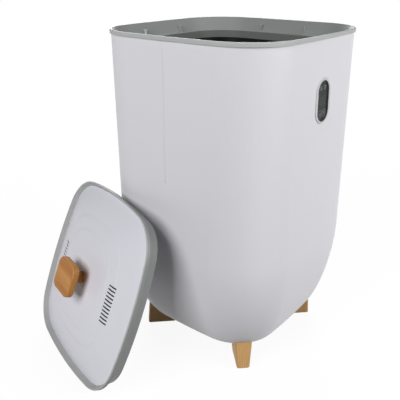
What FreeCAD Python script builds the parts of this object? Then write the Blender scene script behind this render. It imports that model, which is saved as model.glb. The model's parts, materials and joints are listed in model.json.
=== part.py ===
import FreeCAD, Part
import math
import os
import Sketcher
from FreeCAD import Placement, Rotation, Vector

# Bucket towel warmer. Millimetres, +Z up. The origin is on the bucket's axis at floor level, the control
# panel faces -Y, and the loose lid stands on the floor and leans against the -X side.

doc = FreeCAD.newDocument("towel_warmer")
sheet = doc.addObject("Spreadsheet::Sheet", "Sheet")

DIMENSIONS = (
    ("rim_height", 500, "floor to the top of the rim"),
    ("ring_half", 157.3, "rim ring, half width across flats"),
    ("ring_corner", 80.8, "rim ring, corner radius"),
    ("ring_side", 1387, "rim ring, bow radius of a side"),
    ("ring_band", 5.7, "rim ring, height of the outer band"),
    ("shell_half", 155.25, "shell, half width at the rim"),
    ("shell_taper", 0.0099, "shell, inward slope of the straight wall"),
    ("shell_wall", 3, "shell, wall thickness"),
    ("bend_top", 181.1, "shell, height where the wall starts to curve in"),
    ("bend_base", 33.3, "shell, height that the curve aims for"),
    ("bend_inset", 45.1, "shell, how far the curve comes in"),
    ("bend_power", 1.706, "shell, shape of the curve"),
    ("side_ratio", 8.92, "shell, bow radius of a side over half width"),
    ("corner_top", 0.507, "shell, corner radius over half width at the rim"),
    ("corner_base", 0.59, "shell, corner radius over half width at the foot of the curve"),
    ("base_height", 40, "underside of the shell"),
    ("ledge_depth", 21.2, "collar, rim top to the lid ledge"),
    ("ledge_outer", 142, "collar, half width where the flare meets the ledge"),
    ("mouth_half", 135, "collar, half width of the mouth"),
    ("collar_depth", 34.4, "collar, rim top to its lower edge"),
    ("liner_gap", 21, "liner, distance inside the shell's outer face"),
    ("liner_wall", 1.5, "liner, sheet thickness"),
    ("liner_base", 92, "liner, underside"),
    ("foot_out", 140.5, "foot, outer radius at the floor"),
    ("foot_in", 93.7, "foot, inner radius at the floor"),
    ("foot_half", 9.8, "foot, half width at the floor"),
    ("foot_flare", 4.4, "foot, how far each side spreads towards the top"),
    ("foot_lean", 3.6, "foot, how far its outer face comes in towards the top"),
    ("panel_height", 407.7, "control panel, height of its middle"),
    ("panel_face", 154.3, "control panel, distance of the shell's face from the axis"),
    ("bezel_width", 42, "control panel, bezel width"),
    ("bezel_length", 65.2, "control panel, bezel length"),
    ("fascia_width", 29.5, "control panel, dark fascia width"),
    ("fascia_length", 57.3, "control panel, dark fascia length"),
    ("button_spacing", 12, "buttons, distance between the two middles"),
    ("button_drop", 18, "buttons, distance under the panel's middle"),
    ("button_dia", 9, "buttons, cap diameter"),
    ("lid_x", -206.32, "lid, middle of the white panel's edge"),
    ("lid_y", 111.28, "lid, middle of the white panel's edge"),
    ("lid_z", 126.42, "lid, middle of the white panel's edge"),
    ("lid_turn", 162.9, "lid, compass angle that it faces"),
    ("lid_lean", 21.24, "lid, angle that it leans back"),
    ("lid_roll", 90.27, "lid, turn about its own axis"),
    ("lid_half", 136.2, "lid, half width across flats"),
    ("lid_corner", 60.3, "lid, corner radius"),
    ("lid_side", 544.5, "lid, bow radius of a side"),
    ("lid_lip", 7, "lid, height of the grey lip over the white panel's edge"),
    ("lid_flange", 5.4, "lid, thickness of the flange at its edge"),
    ("lid_skirt", 17.6, "lid, depth of the skirt under the flange"),
    ("white_half", 130, "lid, half width of the white panel"),
    ("dome_rise", 18.4, "lid, rise of the pillow without its steps"),
    ("dome_power", 3.4, "lid, shape of the pillow"),
    ("dome_step", 0.8, "lid, height of each concentric step"),
    ("dome_wall", 1.6, "lid, wall of the white panel"),
    ("slot_pitch", 5.3, "lid, distance between vent slots"),
    ("slot_shift", 2.8, "lid, how far below the middle the slots lie"),
    ("slot_inner", 75.3, "lid, inner end of the vent slots"),
    ("slot_length", 15.7, "lid, length of a vent slot"),
    ("slot_width", 2.2, "lid, width of a vent slot"),
    ("knob_under", 39.2, "knob, underside of the block over the white panel's edge"),
    ("knob_thick", 11, "knob, thickness of the block"),
    ("knob_width", 48.6, "knob, block width up the lid"),
    ("knob_length", 54.4, "knob, block length across the lid"),
    ("neck_radius", 8, "knob, radius of the neck"),
)
for row, (alias, size, note) in enumerate(DIMENSIONS, 1):
    sheet.set(f"A{row}", note)
    sheet.set(f"B{row}", str(size))
    sheet.setAlias(f"B{row}", alias)
doc.recompute()

Z_AXIS = Vector(0, 0, 1)
QUARTERS = (0, 1, 2, 3)


def value(formula):
    return float(sheet.evalExpression(str(formula)))


def origin_of(body, role):
    return next(item for item in body.Origin.OriginFeatures if item.Role == role)


def new_body(label):
    return doc.addObject("PartDesign::Body", label)


def new_sketch(body, name, height="0", plane="XY_Plane"):
    sketch = body.newObject("Sketcher::SketchObject", name)
    sketch.AttachmentSupport = [(origin_of(body, plane), "")]
    sketch.MapMode = "FlatFace"
    sketch.setExpression("AttachmentOffset.Base.z", str(height))
    return sketch


def bind(sketch, index, name, formula):
    sketch.renameConstraint(index, name)
    sketch.setExpression("Constraints." + name, str(formula))


def squircle(sketch, half, corner, side, tag="outer"):
    """Square with four bowed sides and four round corners, tangent all round."""
    reach, small, big = value(half), value(corner), value(side)
    back = reach - big
    offset = (2 * back + math.sqrt(8 * (big - small) ** 2 - 4 * back**2)) / 4
    swing = math.atan2(offset, offset - back)
    first = sketch.GeometryCount
    for quarter in QUARTERS:
        angle = quarter * math.pi / 2
        turn = Rotation(Z_AXIS, quarter * 90)
        bow = Part.Circle(turn.multVec(Vector(back, 0, 0)), Z_AXIS, big)
        bend = Part.Circle(turn.multVec(Vector(offset, offset, 0)), Z_AXIS, small)
        sketch.addGeometry(Part.ArcOfCircle(bow, angle - swing, angle + swing))
        sketch.addGeometry(Part.ArcOfCircle(bend, angle + swing, angle + math.pi / 2 - swing))
    bows = [first + 2 * quarter for quarter in QUARTERS]
    bends = [first + 2 * quarter + 1 for quarter in QUARTERS]
    for quarter in QUARTERS:
        sketch.addConstraint(Sketcher.Constraint("Tangent", bows[quarter], 2, bends[quarter], 1))
        sketch.addConstraint(Sketcher.Constraint("Tangent", bends[quarter], 2, bows[(quarter + 1) % 4], 1))
        axis = -1 if quarter % 2 == 0 else -2
        sketch.addConstraint(Sketcher.Constraint("PointOnObject", bows[quarter], 3, axis))
        if quarter:
            sketch.addConstraint(Sketcher.Constraint("Equal", bows[0], bows[quarter]))
            sketch.addConstraint(Sketcher.Constraint("Equal", bends[0], bends[quarter]))
    made = sketch.addConstraint(Sketcher.Constraint("Radius", bows[0], big))
    bind(sketch, made, tag + "_side", side)
    made = sketch.addConstraint(Sketcher.Constraint("Radius", bends[0], small))
    bind(sketch, made, tag + "_corner", corner)
    for quarter in QUARTERS:
        kind = "DistanceX" if quarter % 2 == 0 else "DistanceY"
        ends = (bows[quarter], 3, -1, 1) if quarter < 2 else (-1, 1, bows[quarter], 3)
        made = sketch.addConstraint(Sketcher.Constraint(kind, *ends, big - reach))
        bind(sketch, made, f"{tag}_centre_{quarter}", f"({side}) - ({half})")


def oblong(sketch, width, length, tag="outer"):
    """Upright slot shape with half-round ends, centred on the sketch."""
    radius = value(width) / 2
    rise = (value(length) - value(width)) / 2
    first = sketch.GeometryCount
    top, left, low, right = range(first, first + 4)
    sketch.addGeometry(Part.ArcOfCircle(Part.Circle(Vector(0, rise, 0), Z_AXIS, radius), 0, math.pi))
    sketch.addGeometry(Part.LineSegment(Vector(-radius, rise, 0), Vector(-radius, -rise, 0)))
    sketch.addGeometry(Part.ArcOfCircle(Part.Circle(Vector(0, -rise, 0), Z_AXIS, radius), math.pi, 2 * math.pi))
    sketch.addGeometry(Part.LineSegment(Vector(radius, -rise, 0), Vector(radius, rise, 0)))
    ring = (top, left, low, right)
    for piece, after in zip(ring, ring[1:] + ring[:1]):
        sketch.addConstraint(Sketcher.Constraint("Tangent", piece, 2, after, 1))
    sketch.addConstraint(Sketcher.Constraint("PointOnObject", top, 3, -2))
    sketch.addConstraint(Sketcher.Constraint("PointOnObject", low, 3, -2))
    sketch.addConstraint(Sketcher.Constraint("Equal", top, low))
    made = sketch.addConstraint(Sketcher.Constraint("Radius", top, radius))
    bind(sketch, made, tag + "_radius", f"({width}) / 2")
    made = sketch.addConstraint(Sketcher.Constraint("DistanceY", -1, 1, top, 3, rise))
    bind(sketch, made, tag + "_up", f"(({length}) - ({width})) / 2")
    made = sketch.addConstraint(Sketcher.Constraint("DistanceY", low, 3, -1, 1, rise))
    bind(sketch, made, tag + "_down", f"(({length}) - ({width})) / 2")


def round_rect(sketch, left, right, low, high, radius):
    """Rectangle with round corners; left, right, low and high are distances from the sketch's origin."""
    x0, x1, y0, y1, r = -value(left), value(right), -value(low), value(high), value(radius)
    spots = ((x1, y1), (x0, y1), (x0, y0), (x1, y0))
    ins = ((x1 - r, y1 - r), (x0 + r, y1 - r), (x0 + r, y0 + r), (x1 - r, y0 + r))
    for quarter, (x, y) in enumerate(ins):
        start = quarter * math.pi / 2
        sketch.addGeometry(Part.ArcOfCircle(Part.Circle(Vector(x, y, 0), Z_AXIS, r), start, start + math.pi / 2))
    for quarter in QUARTERS:
        one, two = spots[quarter], spots[(quarter + 1) % 4]
        here, there = ins[quarter], ins[(quarter + 1) % 4]
        if quarter % 2 == 0:
            line = Part.LineSegment(Vector(here[0], one[1], 0), Vector(there[0], two[1], 0))
        else:
            line = Part.LineSegment(Vector(one[0], here[1], 0), Vector(two[0], there[1], 0))
        sketch.addGeometry(line)
    for quarter in QUARTERS:
        line = 4 + quarter
        sketch.addConstraint(Sketcher.Constraint("Tangent", quarter, 2, line, 1))
        sketch.addConstraint(Sketcher.Constraint("Tangent", line, 2, (quarter + 1) % 4, 1))
        sketch.addConstraint(Sketcher.Constraint("Horizontal" if quarter % 2 == 0 else "Vertical", line))
        if quarter:
            sketch.addConstraint(Sketcher.Constraint("Equal", 0, quarter))
    made = sketch.addConstraint(Sketcher.Constraint("Radius", 0, r))
    bind(sketch, made, "corner", radius)
    made = sketch.addConstraint(Sketcher.Constraint("DistanceY", -1, 1, 4, 1, y1))
    bind(sketch, made, "high", high)
    made = sketch.addConstraint(Sketcher.Constraint("DistanceX", 5, 1, -1, 1, -x0))
    bind(sketch, made, "left", left)
    made = sketch.addConstraint(Sketcher.Constraint("DistanceY", 6, 1, -1, 1, -y0))
    bind(sketch, made, "low", low)
    made = sketch.addConstraint(Sketcher.Constraint("DistanceX", -1, 1, 7, 1, x1))
    bind(sketch, made, "right", right)


def discs(sketch, spots, radius):
    """Circles of one radius; each spot is an (x, y) pair of formulas, positive or zero."""
    for number, (x, y) in enumerate(spots):
        index = sketch.GeometryCount
        sketch.addGeometry(Part.Circle(Vector(value(x), value(y), 0), Z_AXIS, value(radius)))
        made = sketch.addConstraint(Sketcher.Constraint("Radius", index, value(radius)))
        bind(sketch, made, f"radius_{number}", radius)
        for kind, axis, place in (("DistanceX", -2, x), ("DistanceY", -1, y)):
            if abs(value(place)) < 1e-6:
                sketch.addConstraint(Sketcher.Constraint("PointOnObject", index, 3, axis))
            else:
                made = sketch.addConstraint(Sketcher.Constraint(kind, -1, 1, index, 3, value(place)))
                bind(sketch, made, f"{kind}_{number}", place)


def pad(body, name, sketch, length, reverse=False):
    feature = body.newObject("PartDesign::Pad", name)
    feature.Profile = sketch
    feature.Reversed = reverse
    feature.setExpression("Length", str(length))
    return feature


def pocket(body, name, sketch, length, reverse=False):
    feature = body.newObject("PartDesign::Pocket", name)
    feature.Profile = sketch
    feature.Reversed = reverse
    feature.setExpression("Length", str(length))
    return feature


def loft(body, name, sections, cut=False, ruled=False):
    kind = "PartDesign::SubtractiveLoft" if cut else "PartDesign::AdditiveLoft"
    feature = body.newObject(kind, name)
    feature.Profile = sections[0]
    feature.Sections = sections[1:]
    feature.Ruled = ruled
    return feature


def polar(body, name, features, count=4):
    feature = body.newObject("PartDesign::PolarPattern", name)
    feature.Originals = features
    feature.Axis = (origin_of(body, "Z_Axis"), [""])
    feature.Angle = 360
    feature.Occurrences = count
    body.Tip = feature
    return feature


def fillet(body, name, base, radius, wanted):
    """Rounds the edges of the feature so far whose bounding box passes the test."""
    doc.recompute()
    edges = [f"Edge{n}" for n, edge in enumerate(base.Shape.Edges, 1) if wanted(edge.BoundBox)]
    feature = body.newObject("PartDesign::Fillet", name)
    feature.Base = (base, edges)
    feature.Radius = radius
    return feature


def level(height):
    return lambda box: abs(box.ZMin - height) < 0.01 and abs(box.ZMax - height) < 0.01


def add_box(name, size, low):
    item = doc.addObject("Part::Box", name)
    item.Length, item.Width, item.Height = size
    item.Placement = Placement(Vector(*low), Rotation())
    return item


def add_cylinder(name, radius, height, base, axis=Z_AXIS):
    item = doc.addObject("Part::Cylinder", name)
    item.Radius, item.Height = radius, height
    item.Placement = Placement(Vector(*base), Rotation(Z_AXIS, axis))
    return item


def fuse(name, items):
    item = doc.addObject("Part::MultiFuse", name)
    item.Shapes = items
    return item


def cut(name, base, tool):
    item = doc.addObject("Part::Cut", name)
    item.Base, item.Tool = base, tool
    return item


def group(name, solids):
    """Several like solids under one name."""
    item = doc.addObject("Part::Feature", name)
    item.Shape = Part.makeCompound(solids)
    return item


def screw(head_radius, head_height, radius, length):
    """Pan-head screw: the head's underside is at zero, the shank runs towards -Z."""
    points = (
        Vector(0, 0, -length),
        Vector(radius * 0.4, 0, -length),
        Vector(radius, 0, -length + radius),
        Vector(radius, 0, 0),
        Vector(head_radius, 0, 0),
        Vector(head_radius, 0, head_height * 0.6),
        Vector(head_radius * 0.75, 0, head_height),
        Vector(0, 0, head_height),
        Vector(0, 0, -length),
    )
    solid = Part.Face(Part.makePolygon(points)).revolve(Vector(0, 0, 0), Z_AXIS, 360)
    drive = Part.makeBox(head_radius * 1.1, head_radius * 0.22, head_height * 0.5)
    drive.translate(Vector(-head_radius * 0.55, -head_radius * 0.11, head_height * 0.6))
    across = drive.copy()
    across.rotate(Vector(0, 0, 0), Z_AXIS, 90)
    return solid.cut(drive).cut(across)


def placed(solid, place):
    item = solid.copy()
    item.Placement = place
    return item


# The shell's outline at any height.


def half_at(height):
    fall = f"(max(0; (Sheet.bend_top - ({height})) / (Sheet.bend_top - Sheet.bend_base)) ^ Sheet.bend_power)"
    curve = f"Sheet.bend_inset * (1 - (1 - {fall}) ^ (1 / Sheet.bend_power))"
    return f"(Sheet.shell_half - Sheet.shell_taper * (Sheet.rim_height - ({height})) - {curve})"


def corner_at(height):
    share = f"(({height}) - Sheet.bend_base) / (Sheet.rim_height - Sheet.bend_base)"
    return f"({half_at(height)} * (Sheet.corner_base + (Sheet.corner_top - Sheet.corner_base) * {share}))"


def wall_section(body, name, height, inset):
    sketch = new_sketch(body, name, height)
    half = half_at(height)
    corner = f"{corner_at(height)} - ({inset})"
    squircle(sketch, f"{half} - ({inset})", corner, f"Sheet.side_ratio * {half} - ({inset})")
    return sketch


BEND_LEVELS = ("46", "57", "75", "102", "134", "160", "175", "Sheet.bend_top")


def wall_loft(body, name, low, high, inset, is_cut=False):
    """The curved foot of the wall, lofted through sections, and the straight wall over it."""
    straight_low = low
    if value(low) < value("Sheet.bend_top"):
        straight_low = "Sheet.bend_top"
        heights = [low] + [height for height in BEND_LEVELS if value(height) > value(low) + 2]
        bend = [wall_section(body, f"{name}_bend_{n}", height, inset) for n, height in enumerate(heights)]
        loft(body, name + "_bend", bend, is_cut)
    ends = ((name + "_low", straight_low), (name + "_high", high))
    return loft(body, name, [wall_section(body, label, height, inset) for label, height in ends], is_cut, True)


# Outer shell: lofted bucket with a floor, a seat and hole for the control panel, a service opening.

SHELL_TOP = "(Sheet.rim_height - Sheet.ring_band)"
FLOOR_TOP = "(Sheet.base_height + Sheet.shell_wall)"
COVER_SCREW = 69
FOOT_SCREWS = (104, 124)

shell = new_body("outer_shell")
wall_loft(shell, "shell_outside", "Sheet.base_height", SHELL_TOP, 0)
wall_loft(shell, "shell_inside", FLOOR_TOP, f"({SHELL_TOP} + 1)", "Sheet.shell_wall", True)
seat = new_sketch(shell, "panel_seat_outline", "Sheet.panel_face + 2", "XZ_Plane")
seat.setExpression("AttachmentOffset.Base.y", "Sheet.panel_height")
oblong(seat, "Sheet.bezel_width + 0.6", "Sheet.bezel_length + 0.6")
pocket(shell, "panel_seat", seat, 3.2)
hole = new_sketch(shell, "panel_hole_outline", "Sheet.panel_face + 2", "XZ_Plane")
hole.setExpression("AttachmentOffset.Base.y", "Sheet.panel_height")
oblong(hole, "Sheet.bezel_width - 4", "Sheet.bezel_length - 4")
pocket(shell, "panel_hole", hole, 12)
opening = new_sketch(shell, "service_outline", FLOOR_TOP)
squircle(opening, 62, 20, 300)
pocket(shell, "service_opening", opening, "Sheet.shell_wall + 1")
bosses = new_sketch(shell, "cover_boss_outline", FLOOR_TOP)
discs(bosses, [(COVER_SCREW, 0)], 4.5)
boss = pad(shell, "cover_boss", bosses, 7)
polar(shell, "cover_bosses", [boss])
holes = new_sketch(shell, "cover_hole_outline", "Sheet.base_height")
discs(holes, [(COVER_SCREW, 0)], 1.6)
drilled = pocket(shell, "cover_hole", holes, 9, True)
polar(shell, "cover_holes", [drilled])
diagonal = math.sqrt(0.5)
holes = new_sketch(shell, "foot_hole_outline", FLOOR_TOP)
discs(holes, [(r * diagonal, r * diagonal) for r in FOOT_SCREWS], 2.3)
drilled = pocket(shell, "foot_hole", holes, "Sheet.shell_wall + 1")
polar(shell, "foot_holes", [drilled])

# Rim collar: ring on the shell's edge, flare down to the lid ledge, mouth, ribs and screw bosses.

COLLAR_LOW = "(Sheet.rim_height - Sheet.collar_depth)"
LEDGE = "(Sheet.rim_height - Sheet.ledge_depth)"
LINER_SCREWS = ((30, 143), (-30, 143))
CORNER_SHRINK = "Sheet.ring_corner - Sheet.ring_half"
NECK_INSET = "(Sheet.ring_half - Sheet.shell_half + Sheet.shell_wall + 1)"

collar = new_body("rim_collar")
sketch = new_sketch(collar, "ring_outline", SHELL_TOP)
squircle(sketch, "Sheet.ring_half", "Sheet.ring_corner", "Sheet.ring_side")
ring = pad(collar, "ring", sketch, "Sheet.ring_band")
fillet(collar, "ring_round", ring, 1.6, level(value("Sheet.rim_height")))
sketch = new_sketch(collar, "neck_outline", COLLAR_LOW)
neck_sizes = [f"{name} - {NECK_INSET}" for name in ("Sheet.ring_half", "Sheet.ring_corner", "Sheet.ring_side")]
squircle(sketch, *neck_sizes)
pad(collar, "neck", sketch, "Sheet.collar_depth - Sheet.ring_band")
high = new_sketch(collar, "flare_top", "Sheet.rim_height")
squircle(high, "Sheet.ring_half - 3", "Sheet.ring_corner - 3", "Sheet.ring_side - 3")
low = new_sketch(collar, "flare_foot", LEDGE)
squircle(low, "Sheet.ledge_outer", f"{CORNER_SHRINK} + Sheet.ledge_outer", "Sheet.ring_side - 15")
loft(collar, "flare", [high, low], True, True)
sketch = new_sketch(collar, "mouth_outline", LEDGE)
mouth_corner = f"({CORNER_SHRINK} + Sheet.mouth_half)"
squircle(sketch, "Sheet.mouth_half", mouth_corner, "Sheet.ring_side - 22")
pocket(collar, "mouth", sketch, 20)
sketch = new_sketch(collar, "channel_outline", COLLAR_LOW)
squircle(sketch, "Sheet.mouth_half + 14.1", f"{mouth_corner} + 14.1", "Sheet.ring_side - 8")
squircle(sketch, "Sheet.mouth_half + 2.5", f"{mouth_corner} + 2.5", "Sheet.ring_side - 19.5", "inner")
pocket(collar, "channel", sketch, "Sheet.collar_depth - Sheet.ledge_depth - 2.5", True)
sketch = new_sketch(collar, "rib_outline", f"{LEDGE} - 1")
round_rect(sketch, "-40", "44", "-139.6", 150, 0.8)
rib = pad(collar, "rib", sketch, 12.5)
sketch = new_sketch(collar, "rib_outline_two", f"{LEDGE} - 1")
round_rect(sketch, "44", "-40", "-139.6", 150, 0.8)
rib_two = pad(collar, "rib_two", sketch, 12.5)
polar(collar, "ribs", [rib, rib_two])
sketch = new_sketch(collar, "boss_outline", COLLAR_LOW)
discs(sketch, LINER_SCREWS, 3.6)
boss = pad(collar, "boss", sketch, "Sheet.collar_depth - Sheet.ledge_depth - 2")
polar(collar, "bosses", [boss])
sketch = new_sketch(collar, "boss_hole_outline", COLLAR_LOW)
discs(sketch, LINER_SCREWS, 1.4)
drilled = pocket(collar, "boss_hole", sketch, 9, True)
polar(collar, "boss_holes", [drilled])

# Heated liner with its flange, the heater band round it and the insulation outside that.

liner = new_body("inner_liner")
LINER_TOP = f"({COLLAR_LOW})"
wall_loft(liner, "liner_outside", "Sheet.liner_base", LINER_TOP, "Sheet.liner_gap")
sketch = new_sketch(liner, "flange_outline", f"{LINER_TOP} - Sheet.liner_wall")
squircle(sketch, "Sheet.mouth_half + 13.5", f"{mouth_corner} + 13.5", "Sheet.ring_side - 8.6")
pad(liner, "flange", sketch, "Sheet.liner_wall")
floor_in = "(Sheet.liner_base + Sheet.liner_wall)"
wall_loft(liner, "liner_inside", floor_in, f"({LINER_TOP} + 1)", "(Sheet.liner_gap + Sheet.liner_wall)", True)
sketch = new_sketch(liner, "flange_hole_outline", f"{LINER_TOP} + 1")
discs(sketch, LINER_SCREWS, 1.7)
drilled = pocket(liner, "flange_hole", sketch, 4)
polar(liner, "flange_holes", [drilled])

heater = new_body("liner_heater")
wall_loft(heater, "band_outside", "190", "345", "(Sheet.liner_gap - 1)")
wall_loft(heater, "band_inside", "189", "346", "(Sheet.liner_gap + 0.05)", True)

wrap = new_body("insulation_wrap")
wall_loft(wrap, "wrap_outside", "124", "356", "(Sheet.liner_gap - 7)")
wall_loft(wrap, "wrap_inside", "123", "357", "(Sheet.liner_gap - 0.95)", True)

# Heating plate, thermostat, thermal fuse and sensor on the liner's underside.

liner_low = value("Sheet.liner_base")
plate = new_body("base_heater")
sketch = new_sketch(plate, "plate_outline", "Sheet.liner_base - 5")
squircle(sketch, 58, 14, 300)
pad(plate, "plate", sketch, 5)

disc = add_cylinder("thermostat_disc", 8.5, 5, (76, 0, liner_low - 5))
stem = add_cylinder("thermostat_stem", 6.5, 6, (76, 0, liner_low - 11))
tab = add_box("thermostat_tab", (3, 24, 1), (74.5, -12, liner_low - 11.5))
fuse("thermostat", [disc, stem, tab])

clip = add_box("fuse_clip", (12, 26, 4), (-82, -13, liner_low - 4))
pill = add_cylinder("fuse_pill", 3, 20, (-76, -10, liner_low - 6), Vector(0, 1, 0))
fuse("thermal_fuse", [clip, pill])

pad_low = add_box("sensor_tab", (14, 10, 2), (-7, 72, liner_low - 2))
bead = add_cylinder("sensor_bead", 2.5, 10, (-5, 77, liner_low - 3.5), Vector(1, 0, 0))
fuse("temperature_sensor", [pad_low, bead])

# Service cover under the floor, with posts for the power board and the cord gland.

base_low = value("Sheet.base_height")
BOARD_POSTS = ((42, 30), (-42, 30), (-42, -30), (42, -30))
POST_TOP = 50
BOARD_TOP = 51.6

cover = new_body("base_cover")
sketch = new_sketch(cover, "cover_outline", "Sheet.base_height - 3")
squircle(sketch, 75, 26, 300)
pad(cover, "cover_plate", sketch, 3)
sketch = new_sketch(cover, "post_outline", "Sheet.base_height - 1")
discs(sketch, BOARD_POSTS, 3.5)
pad(cover, "posts", sketch, f"{POST_TOP} - Sheet.base_height + 1")
sketch = new_sketch(cover, "post_hole_outline", POST_TOP)
discs(sketch, BOARD_POSTS, 1.3)
pocket(cover, "post_holes", sketch, 8)
sketch = new_sketch(cover, "cover_screw_outline", "Sheet.base_height + 1")
discs(sketch, [(COVER_SCREW, 0)], 1.7)
drilled = pocket(cover, "cover_screw_hole", sketch, 6)
polar(cover, "cover_screw_holes", [drilled])
sketch = new_sketch(cover, "gland_hole_outline", "Sheet.base_height + 1")
discs(sketch, [(0, 48)], 6.2)
pocket(cover, "gland_hole", sketch, 6)

gland_low = base_low - 3
barrel = add_cylinder("gland_barrel", 6, 7, (0, 48, gland_low - 0.5))
head = add_cylinder("gland_head", 9, 2.5, (0, 48, gland_low - 2.5))
collet = add_cylinder("gland_nut", 8, 2, (0, 48, base_low))
body_solid = fuse("gland_body", [barrel, head, collet])
bore = add_cylinder("gland_bore", 3.6, 20, (0, 48, gland_low - 6))
cut("cord_gland", body_solid, bore)

circuit = add_box("power_card", (100, 76, 1.6), (-50, -38, POST_TOP))
relay = add_box("power_relay", (20, 16, 15), (-44, -12, BOARD_TOP - 0.1))
coil = add_box("power_transformer", (26, 22, 17), (10, -4, BOARD_TOP - 0.1))
can = add_cylinder("power_capacitor", 5, 14, (-14, -16, BOARD_TOP - 0.1))
terminal = add_box("power_terminal", (24, 9, 10), (-12, 25, BOARD_TOP - 0.1))
socket = add_box("power_socket", (12, 7, 8), (-6, -37, BOARD_TOP - 0.1))
loaded = fuse("power_loaded", [circuit, relay, coil, can, terminal, socket])
drills = [add_cylinder(f"power_drill_{n}", 1.6, 4, (x, y, POST_TOP - 1)) for n, (x, y) in enumerate(BOARD_POSTS)]
cut("power_board", loaded, fuse("power_drills", drills))

# Wiring between the power board and the control panel, up the gap behind the front wall.

RUN = 142.8
route = [Vector(0, -37, 56), Vector(0, -112, 56), Vector(0, -136.5, 118), Vector(0, -RUN, 178), Vector(0, -RUN, 377.25)]
BEND_RADIUS = 14


def rounded_path(points, radius):
    """Straight runs joined by tangent arcs."""
    edges = []
    start = points[0]
    for before, knee, after in zip(points, points[1:], points[2:]):
        back = (before - knee).normalize()
        ahead = (after - knee).normalize()
        half_angle = back.getAngle(ahead) / 2
        trim = radius / math.tan(half_angle)
        middle = knee + (back + ahead).normalize() * (radius / math.sin(half_angle) - radius)
        arc_start, arc_end = knee + back * trim, knee + ahead * trim
        edges.append(Part.LineSegment(start, arc_start).toShape())
        edges.append(Part.Arc(arc_start, middle, arc_end).toShape())
        start = arc_end
    edges.append(Part.LineSegment(start, points[-1]).toShape())
    return Part.Wire(edges)


spine = doc.addObject("Part::Feature", "harness_route")
spine.Shape = rounded_path(route, BEND_RADIUS)
ring_wire = doc.addObject("Part::Circle", "harness_ring")
ring_wire.Radius = 2.2
ring_wire.Placement = Placement(route[0], Rotation(Z_AXIS, Vector(0, -1, 0)))
harness = doc.addObject("Part::Sweep", "control_harness")
harness.Sections = [ring_wire]
harness.Spine = (spine, [f"Edge{n + 1}" for n in range(len(spine.Shape.Edges))])
harness.Solid = True
harness.Frenet = False

# Control panel, built flat and stood up on the front wall: local Y is up, local Z points out of the wall.

panel_place = Placement(
    Vector(0, -value("Sheet.panel_face"), value("Sheet.panel_height")), Rotation(Vector(1, 0, 0), 90)
)
RING_LOW = -1.2
RING_TOP = 0.8
BARREL_LOW = -10
FASCIA_LOW = -3.2
FASCIA_TOP = -0.6
CARRIER_SCREWS = ((16.7, 11), (-16.7, 11), (-16.7, -11), (16.7, -11))
BUTTON_SPOTS = {
    "power_button": ("-Sheet.button_spacing / 2", "-Sheet.button_drop"),
    "timer_button": ("Sheet.button_spacing / 2", "-Sheet.button_drop"),
}

bezel = new_body("panel_bezel")
sketch = new_sketch(bezel, "bezel_outline", RING_LOW)
oblong(sketch, "Sheet.bezel_width", "Sheet.bezel_length")
ring = pad(bezel, "bezel_ring", sketch, RING_TOP - RING_LOW)
fillet(bezel, "bezel_round", ring, 0.9, level(RING_TOP))
sketch = new_sketch(bezel, "barrel_outline", RING_LOW)
oblong(sketch, "Sheet.bezel_width - 4.4", "Sheet.bezel_length - 4.4")
pad(bezel, "bezel_barrel", sketch, RING_LOW - BARREL_LOW, True)
sketch = new_sketch(bezel, "bezel_seat_outline", RING_TOP)
oblong(sketch, "Sheet.fascia_width", "Sheet.fascia_length")
pocket(bezel, "bezel_seat", sketch, RING_TOP - FASCIA_LOW)
sketch = new_sketch(bezel, "bezel_bore_outline", FASCIA_LOW)
oblong(sketch, "Sheet.fascia_width - 3", "Sheet.fascia_length - 3")
pocket(bezel, "bezel_bore", sketch, 12)
sketch = new_sketch(bezel, "bezel_screw_outline", BARREL_LOW)
discs(sketch, CARRIER_SCREWS, 0.8)
pocket(bezel, "bezel_screw_holes", sketch, 6, True)

fascia = new_body("panel_fascia")
sketch = new_sketch(fascia, "fascia_outline", FASCIA_LOW)
oblong(sketch, "Sheet.fascia_width - 0.3", "Sheet.fascia_length - 0.3")
pad(fascia, "fascia_plate", sketch, FASCIA_TOP - FASCIA_LOW)
sketch = new_sketch(fascia, "button_holes_outline", FASCIA_TOP)
discs(sketch, BUTTON_SPOTS.values(), "Sheet.button_dia / 2 + 0.35")
pocket(fascia, "button_holes", sketch, 4)
sketch = new_sketch(fascia, "window_outline", FASCIA_TOP)
round_rect(sketch, 9.5, 9.5, 8, 8, 1.2)
pocket(fascia, "window_hole", sketch, 4)

window = new_body("display_window")
sketch = new_sketch(window, "window_plate_outline", FASCIA_LOW)
round_rect(sketch, 9.4, 9.4, 7.9, 7.9, 1.1)
pad(window, "window_plate", sketch, FASCIA_TOP - FASCIA_LOW)
sketch = new_sketch(window, "window_flange_outline", FASCIA_LOW)
round_rect(sketch, 11.4, 11.4, 9.4, 9.4, 1.5)
pad(window, "window_flange", sketch, 1.2, True)

button_bodies = []
for label, spot in BUTTON_SPOTS.items():
    cap = new_body(label)
    sketch = new_sketch(cap, label + "_outline", -5.6)
    discs(sketch, [spot], "Sheet.button_dia / 2")
    stem = pad(cap, label + "_stem", sketch, 5.2)
    fillet(cap, label + "_round", stem, 0.6, level(-0.4))
    sketch = new_sketch(cap, label + "_flange_outline", -5.6)
    discs(sketch, [spot], "Sheet.button_dia / 2 + 0.9")
    pad(cap, label + "_flange", sketch, 2.1)
    button_bodies.append(cap)

card = new_body("control_board")
sketch = new_sketch(card, "card_outline", -12.6)
oblong(sketch, "Sheet.fascia_width - 1", "Sheet.fascia_length - 1")
pad(card, "card_plate", sketch, 1.6)

switch_solids = []
for spot in BUTTON_SPOTS.values():
    across, up = (value(formula) for formula in spot)
    base = Part.makeBox(6, 6, 2.8, Vector(across - 3, up - 3, -11))
    plunger = Part.makeCylinder(1.7, 1.2, Vector(across, up, -8.3))
    switch_solids.append(base.fuse(plunger).removeSplitter())
switches = group("button_switches", switch_solids)

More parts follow.
